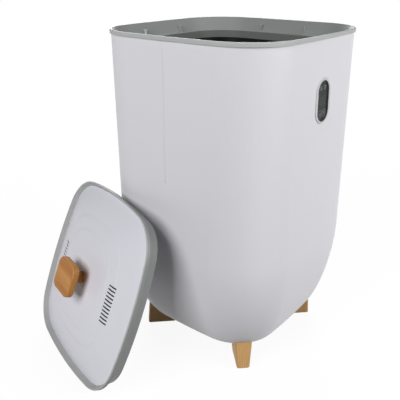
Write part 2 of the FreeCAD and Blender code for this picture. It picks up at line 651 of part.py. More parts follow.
carrier = new_body("board_carrier")
sketch = new_sketch(carrier, "carrier_outline", -15)
oblong(sketch, "Sheet.bezel_width - 4.4", "Sheet.bezel_length - 4.4")
pad(carrier, "carrier_block", sketch, 5)
sketch = new_sketch(carrier, "carrier_tray_outline", BARREL_LOW)
oblong(sketch, "Sheet.fascia_width - 0.4", "Sheet.fascia_length - 0.4")
pocket(carrier, "carrier_tray", sketch, 2.6)
sketch = new_sketch(carrier, "carrier_hole_outline", BARREL_LOW)
discs(sketch, CARRIER_SCREWS, 1.1)
pocket(carrier, "carrier_holes", sketch, 8)

upside_down = Rotation(Vector(1, 0, 0), 180)
small_screw = screw(1.6, 1.1, 0.7, 8.5)
carrier_fixings = [placed(small_screw, Placement(Vector(x, y, -15), upside_down)) for x, y in CARRIER_SCREWS]
carrier_screws = group("carrier_screws", carrier_fixings)

for item in [bezel, fascia, window, card, switches, carrier, carrier_screws] + button_bodies:
    item.Placement = panel_place

# Feet on the diagonals: tapered blocks with pilot holes, scribed to the shell's curve, and the screws that hold them.

FOOT_MIDDLE = 116
FOOT_NAMES = ("foot_rear_right", "foot_rear_left", "foot_front_left", "foot_front_right")
reach_out = f"Sheet.foot_out - {FOOT_MIDDLE}"
reach_in = f"{FOOT_MIDDLE} - Sheet.foot_in"
scribe = new_body("foot_scribe")
wall_loft(scribe, "scribe_block", "Sheet.base_height", "190", -0.15)
for number, label in enumerate(FOOT_NAMES):
    foot = new_body(label + "_body")
    sole = new_sketch(foot, label + "_sole", 0)
    round_rect(sole, f"{reach_in} - 1", f"{reach_out} - 1", "Sheet.foot_half - 1", "Sheet.foot_half - 1", 2.4)
    low = new_sketch(foot, label + "_low", 1.2)
    round_rect(low, reach_in, reach_out, "Sheet.foot_half", "Sheet.foot_half", 3)
    high = new_sketch(foot, label + "_top", "Sheet.base_height + 10")
    spread = "Sheet.foot_half + Sheet.foot_flare"
    round_rect(high, f"{reach_in} + Sheet.foot_flare / 2", f"{reach_out} - Sheet.foot_lean", spread, spread, 3.4)
    loft(foot, label + "_block", [sole, low, high], False, True)
    sketch = new_sketch(foot, label + "_pilot_outline", "Sheet.base_height")
    discs(sketch, [(r - FOOT_MIDDLE, 0) for r in FOOT_SCREWS], 2.05)
    pocket(foot, label + "_pilots", sketch, 26)
    turn = Rotation(Z_AXIS, 45 + 90 * number)
    foot.Placement = Placement(turn.multVec(Vector(FOOT_MIDDLE, 0, 0)), turn)
    cut(label, foot, scribe)

floor_top = value(FLOOR_TOP)
wood_screw = screw(4, 2.6, 2, 25)
fixings = []
for number in QUARTERS:
    turn = Rotation(Z_AXIS, 45 + 90 * number)
    for radius in FOOT_SCREWS:
        spot = turn.multVec(Vector(radius, 0, floor_top))
        fixings.append(placed(wood_screw, Placement(spot, turn)))
group("foot_screws", fixings)

cover_screw = screw(3, 2, 1.5, 9)
fixings = []
for number in QUARTERS:
    spot = Rotation(Z_AXIS, 90 * number).multVec(Vector(COVER_SCREW, 0, base_low - 3))
    fixings.append(placed(cover_screw, Placement(spot, upside_down)))
group("cover_screws", fixings)

board_screw = screw(2.6, 1.8, 1.2, 7.5)
group("board_screws", [placed(board_screw, Placement(Vector(x, y, BOARD_TOP), Rotation())) for x, y in BOARD_POSTS])

liner_screw = screw(2.6, 1.8, 1.3, 8)
flange_low = value(f"{LINER_TOP} - Sheet.liner_wall")
fixings = []
for number in QUARTERS:
    turn = Rotation(Z_AXIS, 90 * number)
    for x, y in LINER_SCREWS:
        fixings.append(placed(liner_screw, Placement(turn.multVec(Vector(x, y, flange_low)), upside_down)))
group("liner_screws", fixings)

# Lid, built flat and leant against the bucket: local X runs up the lid, local Z points out of its face and
# local zero is the edge of the white panel.

turn_angle = math.radians(value("Sheet.lid_turn"))
lean_angle = math.radians(value("Sheet.lid_lean"))
roll_angle = math.radians(value("Sheet.lid_roll"))
flat = math.cos(lean_angle)
face = Vector(flat * math.cos(turn_angle), flat * math.sin(turn_angle), math.sin(lean_angle))
level_way = Vector(-math.sin(turn_angle), math.cos(turn_angle), 0)
climb = face.cross(level_way)
up_lid = level_way * math.cos(roll_angle) + climb * math.sin(roll_angle)
across_lid = face.cross(up_lid)
lid_spot = Vector(value("Sheet.lid_x"), value("Sheet.lid_y"), value("Sheet.lid_z"))
lid_place = Placement(lid_spot, Rotation(up_lid, across_lid, face, "ZXY"))

FLANGE_LOW = "(Sheet.lid_lip - Sheet.lid_flange)"
SKIRT_LOW = "(Sheet.lid_lip - Sheet.lid_flange - Sheet.lid_skirt)"
WHITE_EDGE = 1.5


def lid_section(body, name, height, inset):
    sketch = new_sketch(body, name, height)
    sizes = [f"{key} - ({inset})" for key in ("Sheet.lid_half", "Sheet.lid_corner", "Sheet.lid_side")]
    squircle(sketch, *sizes)
    return sketch


lid_rim = new_body("lid_rim")
brim = pad(lid_rim, "brim", lid_section(lid_rim, "brim_outline", FLANGE_LOW, 0), "Sheet.lid_flange")
fillet(lid_rim, "brim_round", brim, 1.4, level(value("Sheet.lid_lip")))
skirt_high = lid_section(lid_rim, "skirt_high", FLANGE_LOW, 4)
skirt_low = lid_section(lid_rim, "skirt_low", SKIRT_LOW, 8)
loft(lid_rim, "skirt", [skirt_high, skirt_low], False, True)
dish_high = lid_section(lid_rim, "dish_high", "Sheet.lid_lip", 2)
dish_low = lid_section(lid_rim, "dish_low", 0, "Sheet.lid_half - Sheet.white_half - 0.2")
loft(lid_rim, "dish", [dish_high, dish_low], True, True)
seat = lid_section(lid_rim, "white_seat_outline", 0, "Sheet.lid_half - Sheet.white_half - 0.2")
pocket(lid_rim, "white_seat", seat, WHITE_EDGE)
through = lid_section(lid_rim, "skirt_bore_outline", -WHITE_EDGE, 11)
pocket(lid_rim, "skirt_bore", through, 30)


def dome_section(body, name, half, height):
    """Rounder towards the middle, as the pressed steps are."""
    sketch = new_sketch(body, name, height)
    ratio = f"(0.415 + 0.39 * (Sheet.white_half - ({half})) / (Sheet.white_half - 30))"
    squircle(sketch, half, f"({half}) * {ratio}", f"4.1 * ({half})")
    return sketch


def dome_height(half, steps):
    return f"Sheet.dome_rise * (1 - (({half}) / Sheet.white_half) ^ Sheet.dome_power) + {steps} * Sheet.dome_step"


lid_panel = new_body("lid_panel")
edge = dome_section(lid_panel, "white_edge_outline", "Sheet.white_half", -WHITE_EDGE)
pad(lid_panel, "white_edge", edge, WHITE_EDGE)
TIERS = (("Sheet.white_half", "117", "104", "90"), ("85.5", "78", "71"), ("66.5", "50", "30"))
for steps, halves in enumerate(TIERS):
    if steps:
        before = TIERS[steps - 1][-1]
        low = dome_section(lid_panel, f"riser_{steps}_low", before, dome_height(before, steps - 1))
        high = dome_section(lid_panel, f"riser_{steps}_high", halves[0], dome_height(halves[0], steps))
        loft(lid_panel, f"riser_{steps}", [low, high], False, True)
    sections = []
    for number, half in enumerate(halves):
        sections.append(dome_section(lid_panel, f"tier_{steps}_{number}", half, dome_height(half, steps)))
    loft(lid_panel, f"tier_{steps}", sections)
hollow = [dome_section(lid_panel, "hollow_mouth", 127, -WHITE_EDGE - 0.1)]
for number, half in enumerate((122, 108, 88, 60, 28)):
    ceiling = f"{dome_height(half + 2, 0)} - Sheet.dome_wall"
    hollow.append(dome_section(lid_panel, f"hollow_{number}", half, ceiling))
loft(lid_panel, "hollow", hollow, True)
LID_POST = 62
PLATE_TOP = -9.5
sketch = new_sketch(lid_panel, "lid_post_outline", PLATE_TOP)
discs(sketch, [(LID_POST, LID_POST)], 4)
post = pad(lid_panel, "lid_post", sketch, 14.4 - PLATE_TOP)
polar(lid_panel, "lid_posts", [post])
sketch = new_sketch(lid_panel, "lid_post_hole_outline", PLATE_TOP)
discs(sketch, [(LID_POST, LID_POST)], 1.4)
drilled = pocket(lid_panel, "lid_post_hole", sketch, 12, True)
polar(lid_panel, "lid_post_holes", [drilled])
sketch = new_sketch(lid_panel, "knob_hole_outline", 25)
discs(sketch, [(0, 0)], 2.6)
pocket(lid_panel, "knob_hole", sketch, 20)
sketch = new_sketch(lid_panel, "slot_outline", 25)
slot_low = "-(Sheet.slot_inner)"
slot_high = "Sheet.slot_inner + Sheet.slot_length"
slot_left = "5 * Sheet.slot_pitch + Sheet.slot_shift + Sheet.slot_width / 2"
slot_right = "-5 * Sheet.slot_pitch - Sheet.slot_shift + Sheet.slot_width / 2"
round_rect(sketch, slot_left, slot_right, slot_low, slot_high, "Sheet.slot_width / 2 - 0.05")
slot = pocket(lid_panel, "slot", sketch, 30)
slots = lid_panel.newObject("PartDesign::MultiTransform", "slots")
slots.Originals = [slot]
along = lid_panel.newObject("PartDesign::LinearPattern", "slot_row")
along.Direction = (origin_of(lid_panel, "X_Axis"), [""])
along.setExpression("Length", "10 * Sheet.slot_pitch")
along.Occurrences = 11
opposite = lid_panel.newObject("PartDesign::Mirrored", "slot_mirror")
opposite.MirrorPlane = (origin_of(lid_panel, "XZ_Plane"), [""])
slots.Transformations = [along, opposite]
lid_panel.Tip = slots

inner = new_body("lid_inner_plate")
pad(inner, "inner_plate", lid_section(inner, "inner_plate_outline", PLATE_TOP - 2, 11.4), 2)
sketch = new_sketch(inner, "inner_vent_outline", PLATE_TOP + 1)
round_rect(sketch, 30, 28, "-(Sheet.slot_inner - 2)", "Sheet.slot_inner + Sheet.slot_length + 2", 4)
vent = pocket(inner, "inner_vent", sketch, 6)
polar(inner, "inner_vents", [vent], 2)
sketch = new_sketch(inner, "inner_hole_outline", PLATE_TOP + 1)
discs(sketch, [(LID_POST, LID_POST)], 1.7)
drilled = pocket(inner, "inner_hole", sketch, 6)
polar(inner, "inner_holes", [drilled])

lid_screw = screw(2.6, 1.6, 1.3, 10)
fixings = []
for number in QUARTERS:
    spot = Rotation(Z_AXIS, 90 * number).multVec(Vector(LID_POST, LID_POST, PLATE_TOP - 2))
    fixings.append(placed(lid_screw, Placement(spot, upside_down)))
lid_screws = group("lid_screws", fixings)

# Wooden knob: a turned neck under a rounded block, held by one screw from inside the lid.

dome_top = value(dome_height(30, 2))
block_low = value("Sheet.knob_under")
NECK_BORE = 2.3

neck = new_body("knob_neck")
profile = new_sketch(neck, "neck_profile", 0, "XZ_Plane")
rim_radius = value("Sheet.neck_radius")
outline = (
    (NECK_BORE, dome_top),
    (rim_radius + 1, dome_top),
    (rim_radius + 1, dome_top + 1.5),
    (rim_radius - 0.5, dome_top + 5),
    (rim_radius - 0.5, block_low - 5),
    (rim_radius + 1.5, block_low),
    (NECK_BORE, block_low),
)
for start, end in zip(outline, outline[1:] + outline[:1]):
    profile.addGeometry(Part.LineSegment(Vector(*start, 0), Vector(*end, 0)))
for number, (x, y) in enumerate(outline):
    before = (number - 1) % len(outline)
    profile.addConstraint(Sketcher.Constraint("Coincident", before, 2, number, 1))
for number, (x, y) in enumerate(outline):
    made = profile.addConstraint(Sketcher.Constraint("DistanceX", -1, 1, number, 1, x))
    bind(profile, made, f"radius_{number}", x if x == NECK_BORE else f"Sheet.neck_radius + {x - rim_radius}")
    made = profile.addConstraint(Sketcher.Constraint("DistanceY", -1, 1, number, 1, y))
    bind(profile, made, f"height_{number}", y)
turned = neck.newObject("PartDesign::Revolution", "neck_turned")
turned.Profile = profile
turned.ReferenceAxis = (profile, ["V_Axis"])
turned.Angle = 360

block = new_body("knob_block")
sketch = new_sketch(block, "block_outline", "Sheet.knob_under")
wide = "Sheet.knob_width / 2"
long = "Sheet.knob_length / 2"
round_rect(sketch, wide, wide, long, long, 11.5)
slab = pad(block, "block_slab", sketch, "Sheet.knob_thick")
both = (block_low, block_low + value("Sheet.knob_thick"))
fillet(block, "block_round", slab, 2.5, lambda box: any(level(height)(box) for height in both))
sketch = new_sketch(block, "block_hole_outline", "Sheet.knob_under")
discs(sketch, [(0, 0)], 2.1)
pocket(block, "block_hole", sketch, 7.5, True)

ceiling = value(f"{dome_height(30, 0)} - Sheet.dome_wall")
washer_low = ceiling - 1.2
washer_solid = Part.makeCylinder(8, 1.2, Vector(0, 0, washer_low))
washer_solid = washer_solid.cut(Part.makeCylinder(2.4, 4, Vector(0, 0, washer_low - 1)))
washer = group("knob_washer", [washer_solid])
long_screw = placed(screw(4, 2.8, 2, block_low + 7 - washer_low), Placement(Vector(0, 0, washer_low), upside_down))
knob_screw = group("knob_screw", [long_screw])

for item in (lid_rim, lid_panel, inner, lid_screws, neck, block, washer, knob_screw):
    item.Placement = lid_place

# Check every object, then write one file for each sub-part.

doc.recompute()
for item in doc.Objects:
    if "Invalid" in item.State or "Error" in item.State:
        raise RuntimeError(f"{item.Label} failed to build: {item.State}")

NODES = (
    ["outer_shell", "rim_collar", "inner_liner", "liner_heater", "insulation_wrap", "base_heater"]
    + ["thermostat", "thermal_fuse", "temperature_sensor", "base_cover", "cord_gland", "power_board"]
    + ["control_harness", "panel_bezel", "panel_fascia", "display_window", "power_button", "timer_button"]
    + ["control_board", "button_switches", "board_carrier", "carrier_screws"]
    + list(FOOT_NAMES)
    + ["foot_screws", "cover_screws", "board_screws", "liner_screws"]
    + ["lid_rim", "lid_panel", "lid_inner_plate", "lid_screws"]
    + ["knob_neck", "knob_block", "knob_washer", "knob_screw"]
)
os.makedirs("parts", exist_ok=True)
for label in NODES:
    item = doc.getObjectsByLabel(label)[0]
    if item.Shape.isNull() or not item.Shape.isValid():
        raise RuntimeError(f"{label} has no valid shape")
    item.Shape.exportStep(f"parts/{label}.step")
    print(label, len(item.Shape.Solids), round(item.Shape.Volume))
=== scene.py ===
import json
import math

import bpy
from mathutils import Matrix, Vector


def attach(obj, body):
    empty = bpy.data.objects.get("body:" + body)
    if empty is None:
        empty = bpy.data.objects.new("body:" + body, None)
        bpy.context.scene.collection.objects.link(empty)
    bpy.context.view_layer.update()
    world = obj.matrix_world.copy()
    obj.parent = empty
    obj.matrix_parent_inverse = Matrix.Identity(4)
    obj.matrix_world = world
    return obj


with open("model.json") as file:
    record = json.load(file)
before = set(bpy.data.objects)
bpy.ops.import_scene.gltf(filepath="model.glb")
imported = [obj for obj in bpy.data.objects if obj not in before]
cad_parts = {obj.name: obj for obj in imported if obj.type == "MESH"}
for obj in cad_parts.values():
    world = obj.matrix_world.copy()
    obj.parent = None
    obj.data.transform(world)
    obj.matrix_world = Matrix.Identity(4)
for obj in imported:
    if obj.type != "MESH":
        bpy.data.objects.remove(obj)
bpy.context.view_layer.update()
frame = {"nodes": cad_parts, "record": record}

MM = 0.001
QUARTER_TURN = math.radians(90)
WHOLE_TURN = 360
UPRIGHT = Vector((0.0, 0.0, 1.0))

# Where the control panel and the lid sit, as in the part's source.
PANEL_MIDDLE = Vector((0.0, -154.3, 407.7)) * MM
PANEL_PLACE = Matrix.Translation(PANEL_MIDDLE) @ Matrix.Rotation(QUARTER_TURN, 4, "X")
FASCIA_TOP = -0.6 * MM
CAP_TOP = -0.4 * MM
LID_MIDDLE = Vector((-206.32, 111.28, 126.42)) * MM
LID_TURN = math.radians(162.9)
LID_LEAN = math.radians(21.24)
LID_ROLL = math.radians(90.27)
LID_FACE = Vector(
    (
        math.cos(LID_LEAN) * math.cos(LID_TURN),
        math.cos(LID_LEAN) * math.sin(LID_TURN),
        math.sin(LID_LEAN),
    )
)
LID_LEVEL = Vector((-math.sin(LID_TURN), math.cos(LID_TURN), 0.0))
LID_UP = LID_LEVEL * math.cos(LID_ROLL) + LID_FACE.cross(LID_LEVEL) * math.sin(LID_ROLL)
LID_ACROSS = LID_FACE.cross(LID_UP)
LID_AXES = Matrix((LID_UP, LID_ACROSS, LID_FACE)).transposed()
LID_PLACE = Matrix.Translation(LID_MIDDLE) @ LID_AXES.to_4x4()

# Middles of the signs on the panel's face, in millimetres.
BUTTON_SPOTS = {"power_button": (-6.0, -18.0), "timer_button": (6.0, -18.0)}
LIGHT_SPOTS = {"heat": (-5.6, 18.6), "drying": (5.8, 18.6)}


class Wire:
    """A node's output. Python's operators on it add the Math nodes."""

    def __init__(self, net, socket):
        self.net = net
        self.socket = socket

    def maths(self, operation, first, second):
        return self.net.node("ShaderNodeMath", {"operation": operation}, {0: first, 1: second})

    def __add__(self, other):
        return self.maths("ADD", self, other)

    def __radd__(self, other):
        return self.maths("ADD", other, self)

    def __sub__(self, other):
        return self.maths("SUBTRACT", self, other)

    def __rsub__(self, other):
        return self.maths("SUBTRACT", other, self)

    def __mul__(self, other):
        return self.maths("MULTIPLY", self, other)

    def __rmul__(self, other):
        return self.maths("MULTIPLY", other, self)

    def __gt__(self, other):
        return self.maths("GREATER_THAN", self, other)

    def __lt__(self, other):
        return self.maths("LESS_THAN", self, other)


class Net:
    """A tree of shader nodes."""

    def __init__(self, tree):
        self.tree = tree

    def feed(self, socket, value):
        if isinstance(value, Wire):
            self.tree.links.new(value.socket, socket)
        else:
            socket.default_value = value

    def node(self, kind, settings, inputs, output=0):
        made = self.tree.nodes.new(kind)
        for name, setting in settings.items():
            setattr(made, name, setting)
        for name, value in inputs.items():
            self.feed(made.inputs[name], value)
        if not made.outputs:
            return None
        return Wire(self, made.outputs[output])

    def rays(self, *kinds):
        """Light Path's marks for these kinds of ray, added up."""
        first = self.node("ShaderNodeLightPath", {}, {}, kinds[0])
        total = first
        for kind in kinds[1:]:
            total = total + Wire(self, first.socket.node.outputs[kind])
        return total


class Finish(Net):
    """One procedural material and the nodes that it is made of."""

    def __init__(self, name, metallic=0.0, specular=0.5):
        self.material = bpy.data.materials.new(name)
        self.material.use_nodes = True
        super().__init__(self.material.node_tree)
        self.shader = self.tree.nodes["Principled BSDF"]
        self.shader.inputs["Metallic"].default_value = metallic
        self.shader.inputs["Specular IOR Level"].default_value = specular

    def place(self, scale=(1, 1, 1), turn=(0, 0, 0)):
        own = self.node("ShaderNodeTexCoord", {}, {}, "Object")
        turned = self.node("ShaderNodeMapping", {}, {"Vector": own, "Rotation": turn})
        return self.node("ShaderNodeMapping", {}, {"Vector": turned, "Scale": scale})

    def noise(self, place, scale, detail, distortion=0.0):
        inputs = {"Vector": place, "Scale": scale, "Detail": detail, "Distortion": distortion}
        return self.node("ShaderNodeTexNoise", {}, inputs, "Fac")

    def drift(self, place):
        """The slow change of shade over a moulded piece."""
        return self.noise(place, scale=9.0, detail=3.0)

    def bands(self, place, direction, scale, distortion=0.0, detail=0.0):
        settings = {"wave_type": "BANDS", "bands_direction": direction}
        inputs = {
            "Vector": place,
            "Scale": scale,
            "Distortion": distortion,
            "Detail": detail,
            "Detail Scale": 1.2,
        }
        return self.node("ShaderNodeTexWave", settings, inputs, "Fac")

    def dot(self, first, second):
        settings = {"operation": "DOT_PRODUCT"}
        return self.node("ShaderNodeVectorMath", settings, {0: first, 1: second}, "Value")

    def facing(self, direction):
        """How far the surface faces one way, from its own normal."""
        return self.dot(direction, self.node("ShaderNodeTexCoord", {}, {}, "Normal"))

    def mix(self, factor, first, second):
        settings = {"data_type": "RGBA"}
        return self.node("ShaderNodeMix", settings, {0: factor, 6: first, 7: second}, 2)

    def colour(self, value):
        self.feed(self.shader.inputs["Base Color"], value)

    def roughness(self, value):
        self.feed(self.shader.inputs["Roughness"], value)

    def bump(self, height, depth):
        normal = self.node("ShaderNodeBump", {}, {"Distance": depth, "Height": height})
        self.feed(self.shader.inputs["Normal"], normal)

    def skin(self, place, roughest, grain, depth):
        """The skin of a moulded piece: a little uneven gloss and a fine spark-eroded grain."""
        uneven = 0.12
        self.roughness(roughest - uneven + uneven * self.noise(place, scale=60.0, detail=4.0))
        self.bump(self.noise(place, grain, detail=3.0), depth)


def tint(red, green, blue):
    """A colour as a screen shows it, 0 to 255, in the shader's linear terms."""
    linear = []
    for part in (red, green, blue):
        share = part / 255
        linear.append(share / 12.92 if share <= 0.04045 else ((share + 0.055) / 1.055) ** 2.4)
    return (*linear, 1.0)


def moulded(name, light, dark, roughest, grain, depth, specular=0.5):
    """Moulded plastic, with a slow drift between two near shades."""
    finish = Finish(name, specular=specular)
    place = finish.place()
    finish.colour(finish.mix(finish.drift(place), light, dark))
    finish.skin(place, roughest, grain, depth)
    return finish


def collar_grey():
    """Grey collar: a pale band outside, a darker flare inside and a dark mouth under the ledge;
    the flare and the mouth are painted shade inside the collar.
    """
    ledge = 477.6 * MM
    leans_in = -0.03
    finish = Finish("collar_grey", specular=0.25)
    place = finish.place()
    outward = finish.facing(finish.place(scale=(1, 1, 0)))
    height = finish.node("ShaderNodeSeparateXYZ", {}, {"Vector": place}, "Z")
    drift = finish.drift(place)
    band = finish.mix(drift, tint(178, 180, 179), tint(172, 174, 173))
    # The flare and the mouth are the band's grey painted darker: painted shade inside the collar,
    # deepest under the ledge.
    flare = finish.mix(drift, tint(140, 142, 141), tint(134, 136, 135))
    mouth = finish.mix(drift, tint(105, 107, 106), tint(99, 101, 100))
    inside = finish.mix(height < ledge, flare, mouth)
    finish.colour(finish.mix(outward > leans_in, inside, band))
    finish.skin(place, roughest=0.52, grain=1100.0, depth=0.03 * MM)
    return finish


def lid_white():
    """The lid's white panel. One bank of slots has walls painted grey as painted shade inside the
    slots, the other pale ones.
    """
    slot_wall_lean = 0.5
    finish = Finish("lid_white")
    place = finish.place()
    outside = finish.mix(finish.drift(place), tint(220, 220, 228), tint(217, 217, 225))
    # Painted shade on the walls of one bank of slots, a little uneven in depth.
    shade_unevenness = finish.noise(place, scale=40.0, detail=2.0)
    painted_shade_wall = finish.mix(shade_unevenness, tint(122, 122, 125), tint(112, 112, 115))
    beyond_middle = finish.dot(tuple(LID_ACROSS), place) > LID_ACROSS.dot(LID_MIDDLE)
    slot_wall = finish.mix(beyond_middle, painted_shade_wall, outside)
    on_face = finish.facing(tuple(LID_FACE)) > slot_wall_lean
    finish.colour(finish.mix(on_face, slot_wall, outside))
    finish.skin(place, roughest=0.48, grain=1400.0, depth=0.02 * MM)
    return finish


def lid_grey():
    """The lid's grey rim: paler on the lip, darker down the skirt, where the darker grey is
    painted shade.
    """
    skirt_lean = 0.35
    finish = Finish("lid_grey", specular=0.4)
    place = finish.place()
    drift = finish.drift(place)
    lip = finish.mix(drift, tint(176, 178, 176), tint(170, 172, 170))
    # The skirt is the lip's grey painted darker: painted shade on the side that faces away from
    # the light.
    skirt = finish.mix(drift, tint(136, 138, 137), tint(130, 132, 131))
    finish.colour(finish.mix(finish.facing(tuple(LID_FACE)) > skirt_lean, skirt, lip))
    finish.skin(place, roughest=0.52, grain=1100.0, depth=0.03 * MM)
    return finish


def black_coating():
    """The liner's non-stick coat, with its fine pale specks."""
    speck_size = 0.16
    specks_from = 0.56
    finish = Finish("black_coating", specular=0.2)
    place = finish.place()
    cells = {"Vector": place, "Scale": 420.0}
    specks = finish.node("ShaderNodeTexVoronoi", {}, cells, "Distance") < speck_size
    kept = finish.noise(place, scale=700.0, detail=1.0) > specks_from
    finish.colour(finish.mix(specks * kept, tint(14, 14, 15), tint(78, 78, 80)))
    finish.roughness(0.36 + 0.2 * finish.noise(place, scale=90.0, detail=3.0))
    finish.bump(finish.noise(place, scale=900.0, detail=3.0), 0.04 * MM)
    return finish


def oiled_wood(name, fibres, pale, deep, streak):
    """Oiled wood: fine straight lines along the fibres, darker streaks and short pores."""
    across_fibres, along_fibres = 130.0, 5.0
    pores_from = 0.66
    finish = Finish(name, specular=0.35)
    turn = Vector(fibres).rotation_difference(UPRIGHT).to_euler()
    along = finish.place((across_fibres, across_fibres, along_fibres), turn)
    lines = finish.bands(along, "X", scale=1.0, distortion=2.2, detail=3.0)
    streaks = finish.noise(along, scale=3.0, detail=6.0, distortion=0.4)
    pores = finish.noise(along, scale=14.0, detail=3.0) > pores_from
    body = finish.mix(0.7 * lines, pale, deep)
    body = finish.mix(0.5 * streaks, body, streak)
    finish.colour(finish.mix(0.45 * pores, body, tint(118, 72, 36)))
    finish.roughness(0.44 + 0.16 * streaks)
    finish.bump(lines * 0.4 - pores, 0.06 * MM)
    return finish


def plated_steel():
    """Plated steel with fine drawn lines."""
    finish = Finish("plated_steel", metallic=1.0)
    drawn = finish.place(scale=(400.0, 400.0, 40.0))
    lines = finish.noise(drawn, scale=1.0, detail=4.0)
    finish.colour(finish.mix(lines, tint(176, 178, 182), tint(138, 140, 146)))
    finish.roughness(0.26 + 0.16 * lines)
    finish.bump(lines, 0.02 * MM)
    return finish


def heater_foil():
    """Foil over a printed heating track, whose turns show as ridges."""
    finish = Finish("heater_foil", metallic=1.0)
    place = finish.place()
    track = finish.bands(place, "Z", scale=28.0, distortion=0.6, detail=1.0)
    creases = finish.noise(place, scale=160.0, detail=5.0, distortion=1.2)
    finish.colour(finish.mix(track, tint(196, 190, 176), tint(166, 158, 142)))
    finish.roughness(0.28 + 0.25 * creases)
    finish.bump(track + 0.5 * creases, 0.3 * MM)
    return finish


def fibre_felt():
    """Matted fibres, in clumps."""
    finish = Finish("fibre_felt")
    place = finish.place()
    fibres = finish.noise(place, scale=340.0, detail=8.0, distortion=3.0)
    clumps = finish.noise(place, scale=40.0, detail=3.0)
    shade = 0.6 * fibres + 0.3 * clumps
    finish.colour(finish.mix(shade, tint(226, 222, 210), tint(176, 168, 150)))
    finish.roughness(0.95)
    finish.bump(fibres + clumps, 0.6 * MM)
    return finish


def printed_board():
    """Solder mask over copper tracks, which show as paler and raised."""
    finish = Finish("printed_board")
    place = finish.place()
    layout = {"Vector": place, "Scale": 160.0, "Mortar Size": 0.06}
    tracks = finish.node("ShaderNodeTexBrick", {}, layout, "Fac")
    finish.colour(finish.mix(tracks, tint(28, 78, 52), tint(66, 122, 84)))
    finish.roughness(0.34 + 0.14 * finish.noise(place, scale=120.0, detail=3.0))
    finish.bump(tracks, 0.05 * MM)
    return finish


def smoked_window():
    """The display's dark window."""
    finish = Finish("smoked_window", specular=0.12)
    place = finish.place()
    cloud = finish.noise(place, scale=30.0, detail=2.0)
    finish.colour(finish.mix(cloud, tint(43, 47, 45), tint(48, 52, 50)))
    finish.roughness(0.2 + 0.12 * finish.noise(place, scale=200.0, detail=4.0))
    return finish


def shade_gauze():
    """Dark woven mesh behind the lid's slots: a dark sheet put there as painted shade, so that the
    slots look deep.
    """
    thread = 190.0
    finish = Finish("shade_gauze", specular=0.2)
    across = finish.bands(finish.place(turn=(0.0, LID_LEAN, 0.0)), "Z", thread)
    along = finish.bands(finish.place(turn=(0.0, 0.0, -LID_TURN)), "Y", thread)
    weave = across * along
    finish.colour(finish.mix(weave, tint(30, 30, 31), tint(66, 66, 67)))
    finish.roughness(0.85)
    finish.bump(weave, 0.2 * MM)
    return finish


satin_white = moulded(
    "satin_white",
    light=tint(218, 217, 222),
    dark=tint(215, 214, 219),
    roughest=0.48,
    grain=1400.0,
    depth=0.02 * MM,
)
moulded_grey = moulded(
    "moulded_grey",
    light=tint(176, 177, 176),
    dark=tint(166, 168, 167),
    roughest=0.66,
    grain=700.0,
    depth=0.08 * MM,
)
black_rubber = moulded(
    "black_rubber",
    light=tint(34, 34, 35),
    dark=tint(26, 26, 27),
    roughest=0.81,
    grain=900.0,
    depth=0.08 * MM,
)
pale_bezel = moulded(
    "pale_bezel",
    light=tint(199, 199, 202),
    dark=tint(193, 193, 197),
    roughest=0.46,
    grain=1600.0,
    depth=0.02 * MM,
)
dark_panel = moulded(
    "dark_panel",
    light=tint(47, 51, 49),
    dark=tint(43, 46, 45),
    roughest=0.46,
    grain=1500.0,
    depth=0.02 * MM,
    specular=0.12,
)
# Pale print for the signs; the same finish makes the pale rings round the buttons, which are
# painted highlight.
sign_print_and_glint = moulded(
    "pale_print_and_glint",
    light=tint(154, 158, 156),
    dark=tint(147, 151, 149),
    roughest=0.56,
    grain=1500.0,
    depth=0.01 * MM,
)
dark_lip = moulded(
    "dark_lip",
    light=tint(88, 92, 90),
    dark=tint(82, 86, 84),
    roughest=0.51,
    grain=1500.0,
    depth=0.02 * MM,
    specular=0.12,
)
foot_wood = oiled_wood(
    "foot_wood",
    fibres=UPRIGHT,
    pale=tint(212, 171, 116),
    deep=tint(195, 150, 96),
    streak=tint(170, 124, 74),
)
knob_wood = oiled_wood(
    "knob_wood",
    fibres=LID_ACROSS,
    pale=tint(215, 157, 84),
    deep=tint(174, 108, 44),
    streak=tint(112, 55, 22),
)
gauze = shade_gauze()

# A node takes the finish given for it by name, or else its material slot's.
node_finishes = {
    "knob_neck": knob_wood,
    "knob_block": knob_wood,
    "rim_collar": collar_grey(),
    "lid_rim": lid_grey(),
    "lid_panel": lid_white(),
}
slot_finishes = {
    "shell_white": satin_white,
    "liner_dark": black_coating(),
    "heater_foil": heater_foil(),
    "insulation": fibre_felt(),
    "steel": plated_steel(),
    "inner_grey": moulded_grey,
    "rubber_black": black_rubber,
    "circuit": printed_board(),
    "bezel_pale": pale_bezel,
    "panel_dark": dark_panel,
    "display_dark": smoked_window(),
    "wood": foot_wood,
}
for part in frame["record"]["subparts"]:
    node = frame["nodes"][part["node"]]
    finish = node_finishes.get(part["node"]) or slot_finishes[part["material_slot"]]
    node.data.materials.clear()
    node.data.materials.append(finish.material)


WELD = 0.002 * MM
FINE_WELD = 0.001 * MM
SIGN_THICK = 0.16 * MM


def edit():
    bpy.ops.object.mode_set(mode="EDIT")


def leave_edit():
    bpy.ops.object.mode_set(mode="OBJECT")


def pick_all():
    bpy.ops.mesh.select_all(action="SELECT")


def pick_nothing():
    bpy.ops.object.select_all(action="DESELECT")


def face_outward():
    """In edit mode, turn all faces of a closed piece outward."""
    pick_all()
    bpy.ops.mesh.normals_make_consistent(inside=False)


def settle():
    """Put the place and turn of the selected object into its mesh."""
    bpy.ops.object.transform_apply(location=True, rotation=True, scale=True)


def take(piece):
    """Make one object the only selected one and the active one."""
    pick_nothing()
    piece.select_set(True)
    bpy.context.view_layer.objects.active = piece


